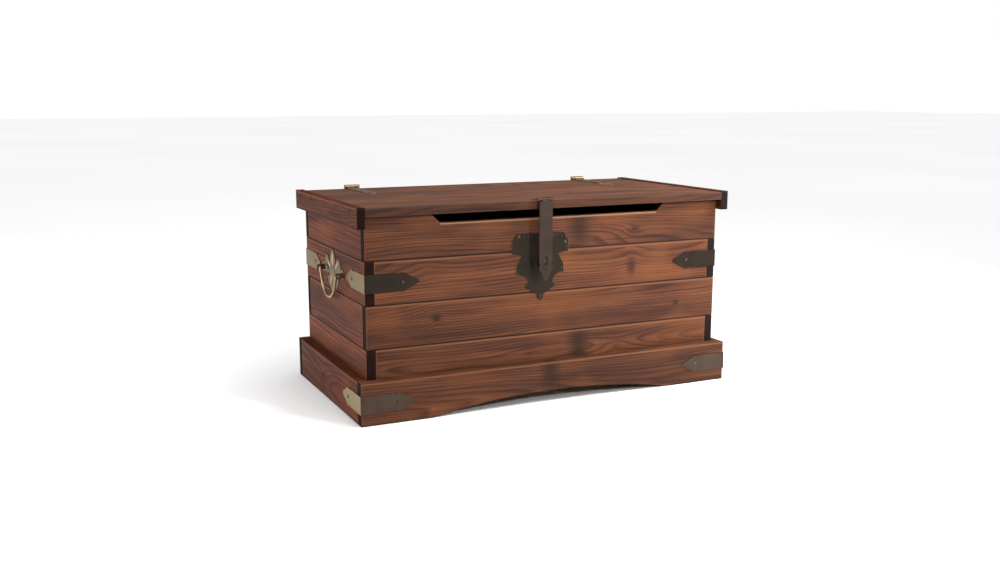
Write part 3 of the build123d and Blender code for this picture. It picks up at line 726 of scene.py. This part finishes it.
def model_nail(length, head):
    """One nail, its head's underside at the origin and its point down Z."""
    (radius, height), *steps = nail_outline(length, head)
    select_nothing()
    bpy.ops.mesh.primitive_circle_add(vertices=NAIL_SIDES, radius=radius, fill_type="NGON",
                                      location=(0, 0, height))
    bpy.ops.object.mode_set(mode="EDIT")
    for next_radius, next_height in steps:
        rise = {"value": (0, 0, next_height - height)}
        bpy.ops.mesh.extrude_region_move(TRANSFORM_OT_translate=rise)
        share = next_radius / radius
        bpy.ops.transform.resize(value=(share, share, 1))
        radius, height = next_radius, next_height
    bpy.ops.mesh.select_all(action="SELECT")
    bpy.ops.mesh.normals_make_consistent(inside=False)
    bpy.ops.object.mode_set(mode="OBJECT")
    bpy.ops.object.transform_apply()
    return bpy.context.object


print("a nail's outline has", len(nail_outline(0.015, 0.0036)), "steps")


# %% Drive the nails
def drive_nails(node, body, slot, material):
    """Domed nails at every place where a frame piece has one, as one piece."""
    settings = [nail_setting(points) for points in islands(node)]
    master = model_nail(settings[0][2], settings[0][3])
    copies = []
    for place, out, _, _ in settings:
        copy = master.copy()
        copy.data = master.data.copy()
        turn = out.to_track_quat("Z", "Y").to_matrix().to_4x4()
        copy.data.transform(Matrix.Translation(place) @ turn)
        bpy.context.scene.collection.objects.link(copy)
        copies.append(copy)
    bpy.data.objects.remove(master)
    group = join_pieces(copies, "domed_" + node)
    finish(group, body, slot, material, node)
    return len(copies)


NAIL_BODIES = {"bracket_nails": "case", "hasp_plate_nails": "case", "handle_nails": "case",
               "hinge_leaf_nails": "case", "hasp_leaf_nails": "lid", "hinge_strap_nails": "lid"}
for node, body in NAIL_BODIES.items():
    print(node, drive_nails(node, body, "dark_nail", NAIL), "nails")

# %% [markdown]
# ## Pressed plates with eased edges
# The brackets, the hasp and its leaf plate are stamped from sheet and tumbled, so the edges of
# their outer faces are sloped, and those slopes catch the light as thin bright lines. A copy of
# the frame piece has its triangles merged into whole faces; then the edges round its outer
# face are picked out by their place and bevelled.

# %% Ease a plate's edges
SLOPE_M = 0.0009
FOLD_DEG = 25
SMALLEST_FACE_M2 = 2e-4
SAME_PLANE_M = 1e-4
FACING = 0.999
CORNER_DEG = 60
WELD_M = 1e-5


def outer_faces(grid, outward):
    """The large faces that lie furthest out in any of the outward directions."""
    found = []
    for way in outward:
        faces = [face for face in grid.faces
                 if face.normal.dot(way) > FACING and face.calc_area() > SMALLEST_FACE_M2]
        furthest = max(face.calc_center_median().dot(way) for face in faces)
        found += [face for face in faces
                  if face.calc_center_median().dot(way) > furthest - SAME_PLANE_M]
    return found


def eased_copy(node, body, slot, material, outward):
    """A frame plate with the edges round its outer faces sloped.

    outward is a list of unit directions that an outer face may look in.
    """
    piece = bpy.data.objects.new("pressed_" + node, bpy.data.objects[node].data.copy())
    bpy.context.scene.collection.objects.link(piece)
    select_nothing()
    piece.select_set(True)
    bpy.context.view_layer.objects.active = piece
    bpy.ops.object.mode_set(mode="EDIT")
    bpy.ops.mesh.select_all(action="SELECT")
    bpy.ops.mesh.remove_doubles(threshold=TOUCHING_M)
    bpy.ops.mesh.customdata_custom_splitnormals_clear()
    bpy.ops.mesh.dissolve_limited(angle_limit=math.radians(1))
    bpy.ops.mesh.select_all(action="DESELECT")
    grid = bmesh.from_edit_mesh(piece.data)
    for face in outer_faces(grid, outward):
        for edge in face.edges:
            edge.select = edge.calc_face_angle(0) > math.radians(CORNER_DEG)
    bmesh.update_edit_mesh(piece.data)
    bpy.ops.mesh.select_mode(type="EDGE")
    bpy.ops.mesh.bevel(offset=SLOPE_M, segments=1, clamp_overlap=True)
    bpy.ops.mesh.select_all(action="SELECT")
    bpy.ops.mesh.remove_doubles(threshold=WELD_M)
    bpy.ops.mesh.dissolve_degenerate(threshold=WELD_M)
    bpy.ops.object.mode_set(mode="OBJECT")
    bpy.ops.object.shade_smooth_by_angle(angle=math.radians(FOLD_DEG))
    finish(piece, body, slot, material, node)
    return len(piece.data.polygons)


print("plate edges slope over", SLOPE_M * 1000, "mm")

# %% Press the plates
FRONT, REAR, LEFT, RIGHT, UP = (Vector(way) for way in
                                ((0, -1, 0), (0, 1, 0), (-1, 0, 0), (1, 0, 0), (0, 0, 1)))
PLATES = {
    "bracket_front_left": ("case", "bronzed_iron", BRONZE, [FRONT, LEFT]),
    "bracket_front_right": ("case", "bronzed_iron", BRONZE, [FRONT, RIGHT]),
    "bracket_back_left": ("case", "bronzed_iron", BRONZE, [REAR, LEFT]),
    "bracket_back_right": ("case", "bronzed_iron", BRONZE, [REAR, RIGHT]),
    "plinth_bracket_left": ("case", "bronzed_iron", WORN_BRONZE, [FRONT, LEFT]),
    "plinth_bracket_right": ("case", "bronzed_iron", WORN_BRONZE, [FRONT, RIGHT]),
    "hasp_plate": ("case", "bronzed_iron", BRONZE, [FRONT]),
    "hasp_strap": ("hasp", "bronzed_iron", STRAP_BRONZE, [FRONT]),
    "hinge_strap_left": ("lid", "brass", BRASS, [UP]),
    "hinge_strap_right": ("lid", "brass", BRASS, [UP]),
    "handle_plate_left": ("case", "brass", DARK_BRASS, [LEFT]),
    "handle_plate_right": ("case", "brass", DARK_BRASS, [RIGHT]),
}
for node, (body, slot, material, outward) in PLATES.items():
    print("pressed", node, eased_copy(node, body, slot, material, outward), "faces")

# %% [markdown]
# ## Embossed leaves and beads
# The handle plates are pressed into leaves with a raised middle rib, and the upper lobes of the
# leaf plate carry a row of small beads. Both are one shape, long or short: a disc pushed along
# in steps that swell and shrink, squashed low and pressed nearly flat underneath so that it sits
# on the plate.

# %% Model one rib
RIB_STEPS = 8
RIB_SIDES = 12
RIB_TIP_SHARE = 0.12
RIB_FULLNESS = 0.7
RIB_UNDERSIDE_SHARE = 0.1


def model_rib(length, width, height):
    """A low ridge up Z from the origin, its nearly flat underside facing -Y."""
    half = width / 2
    swells = [math.sin(math.pi * step / RIB_STEPS) for step in range(RIB_STEPS + 1)]
    radii = [half * max(RIB_TIP_SHARE, swell ** RIB_FULLNESS) for swell in swells]
    select_nothing()
    bpy.ops.mesh.primitive_circle_add(vertices=RIB_SIDES, radius=radii[0], fill_type="NGON")
    bpy.ops.object.mode_set(mode="EDIT")
    for before, after in zip(radii, radii[1:]):
        rise = {"value": (0, 0, length / RIB_STEPS)}
        bpy.ops.mesh.extrude_region_move(TRANSFORM_OT_translate=rise)
        bpy.ops.transform.resize(value=(after / before, after / before, 1))
    bpy.ops.mesh.select_all(action="SELECT")
    bpy.ops.transform.resize(value=(1, height / half, 1), center_override=(0, 0, 0))
    bpy.ops.mesh.normals_make_consistent(inside=False)
    bpy.ops.mesh.select_mode(type="VERT")
    bpy.ops.mesh.select_all(action="DESELECT")
    grid = bmesh.from_edit_mesh(bpy.context.object.data)
    for point in grid.verts:
        point.select = point.co.y < -TOUCHING_M
    grid.select_flush_mode()
    bmesh.update_edit_mesh(bpy.context.object.data)
    bpy.ops.transform.resize(value=(1, RIB_UNDERSIDE_SHARE, 1), center_override=(0, 0, 0))
    bpy.ops.object.mode_set(mode="OBJECT")
    return bpy.context.object


print("a rib swells and shrinks in", RIB_STEPS, "steps")

# %% Emboss the plates
EMBOSS_SINK_M = 0.0002
PLATE_FACE_M = 0.0016  # the embossing starts this far off the boards
PLATE_BELOW_M = 0.048  # from a handle plate's lower edge up to its middle
LEAF_BELOW_M = 0.089  # the same for the leaf plate
BEAD_HALF_M = 0.0025
BEAD_WIDTH_M = 0.0048
BEAD_HEIGHT_M = 0.0014


def emboss(name, origin, right, out, ribs, slot, material):
    """Ridges on a plate, joined into one piece. Each rib is its start, end, width and height."""
    pieces = []
    for start, end, width, height in ribs:
        first = origin + right * start[0] + UP * start[1] - out * EMBOSS_SINK_M
        along = right * (end[0] - start[0]) + UP * (end[1] - start[1])
        rib = model_rib(along.length, width, height)
        along.normalize()
        turn = Matrix((out.cross(along), out, along)).transposed().to_4x4()
        rib.data.transform(Matrix.Translation(first) @ turn)
        pieces.append(rib)
    finish(join_pieces(pieces, name), "case", slot, material)
    return len(ribs)


LEAF_RIBS = [((0, 0.010), (0, 0.044), 0.009, 0.0022)]
for side in (-1, 1):
    LEAF_RIBS += [
        ((side * 0.018, 0.004), (side * 0.041, 0.027), 0.008, 0.0020),
        ((side * 0.008, -0.008), (side * 0.020, -0.034), 0.008, 0.0018),
        ((side * 0.046, 0.000), (side * 0.060, 0.006), 0.006, 0.0014),
    ]
for name, out in (("left", LEFT), ("right", RIGHT)):
    low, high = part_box("handle_plate_" + name)
    board_low, board_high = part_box(f"{name}_board_2")
    face = (board_low if out.x < 0 else board_high).x + out.x * PLATE_FACE_M
    origin = Vector((face, (low.y + high.y) / 2, low.z + PLATE_BELOW_M))
    print(name, emboss("leaf_ribs_" + name, origin, Vector((0, out.x, 0)), out, LEAF_RIBS,
                       "brass", COPPER_BRASS), "ribs")

BEAD_PLACES = [(0.031, 0.054), (0.041, 0.053), (0.051, 0.050), (0.062, 0.047), (0.064, 0.026),
               (0.052, -0.020)]
BEADS = [((side * x, z - BEAD_HALF_M), (side * x, z + BEAD_HALF_M), BEAD_WIDTH_M, BEAD_HEIGHT_M)
         for side in (-1, 1) for x, z in BEAD_PLACES]
low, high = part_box("hasp_plate")
origin = Vector(((low.x + high.x) / 2, low.y, low.z + LEAF_BELOW_M))
print("leaf plate", emboss("leaf_plate_beads", origin, RIGHT, FRONT, BEADS,
                           "bronzed_iron", STRAP_BRONZE), "beads")

# %% [markdown]
# ## The studio
# A pale floor, a small low lamp in front that throws the hasp's shadow, a wider one on the right
# that puts a sheen on the front, a wide soft box for the left end, soft light from overhead, and
# an even pale surround that the camera sees as white.

# %% Build the studio
FLOOR_SIZE_M = 60.0


def pale_floor():
    bpy.ops.object.select_all(action="DESELECT")
    bpy.ops.mesh.primitive_plane_add(size=FLOOR_SIZE_M)
    floor = bpy.context.object
    floor.name = "studio_floor"
    material, tree, shader = new_finish("Pale studio paper")  # matt paper: hardly any sheen
    place = add(tree, "TexCoord").node.outputs["Object"]
    cloud = add(tree, "TexNoise", place, Scale=0.4, Detail=1.0)
    colour = add(tree, "ValToRGB", cloud, stops=[(0.3, "#f6f6f6"), (0.7, "#fafafa")])
    tree.links.new(colour, shader.inputs["Base Color"])
    shader.inputs["Roughness"].default_value = 0.9
    shader.inputs["Specular IOR Level"].default_value = 0.1
    floor.data.materials.append(material)


def direction(azimuth, elevation):
    """The unit direction of a lamp; azimuth 0 is in front, 90 on the right."""
    turn, rise = math.radians(azimuth), math.radians(elevation)
    return Vector((math.sin(turn) * math.cos(rise), -math.cos(turn) * math.cos(rise),
                   math.sin(rise)))


def lamp(name, azimuth, elevation, distance, size, power):
    """A square soft box aimed at the box's middle."""
    data = bpy.data.lights.new(name, "AREA")
    data.size = size
    data.energy = power
    toward = direction(azimuth, elevation)
    light = bpy.data.objects.new(name, data)
    light.location = Vector((0, 0, cad_high[2] / 2)) + toward * distance
    light.rotation_euler = toward.to_track_quat("Z", "Y").to_euler()
    light.visible_camera = False
    bpy.context.scene.collection.objects.link(light)


def surround(strength):
    world = bpy.data.worlds.new("studio")
    bpy.context.scene.world = world
    world.use_nodes = True
    background = world.node_tree.nodes["Background"]
    background.inputs["Color"].default_value = (1, 1, 1, 1)
    seen = add(world.node_tree, "LightPath").node.outputs["Is Camera Ray"]
    seen = add(world.node_tree, "Math MAXIMUM", seen, strength)
    world.node_tree.links.new(seen, background.inputs["Strength"])


def overhead(azimuth, elevation, softness, strength):
    """Even light from a wide ceiling, which whitens the floor all the way back."""
    data = bpy.data.lights.new("ceiling", "SUN")
    data.energy = strength
    data.angle = math.radians(softness)
    light = bpy.data.objects.new("ceiling", data)
    light.rotation_euler = direction(azimuth, elevation).to_track_quat("Z", "Y").to_euler()
    bpy.context.scene.collection.objects.link(light)


pale_floor()
surround(0.25)
lamp("key", 20, 20, 2.3, 0.14, 19)
lamp("right_fill", 62, 28, 1.6, 0.6, 36)
lamp("left", -105, 10, 2.8, 0.9, 29)
overhead(20, 75, 60, 2.5)
bpy.context.scene.view_settings.view_transform = "Standard"
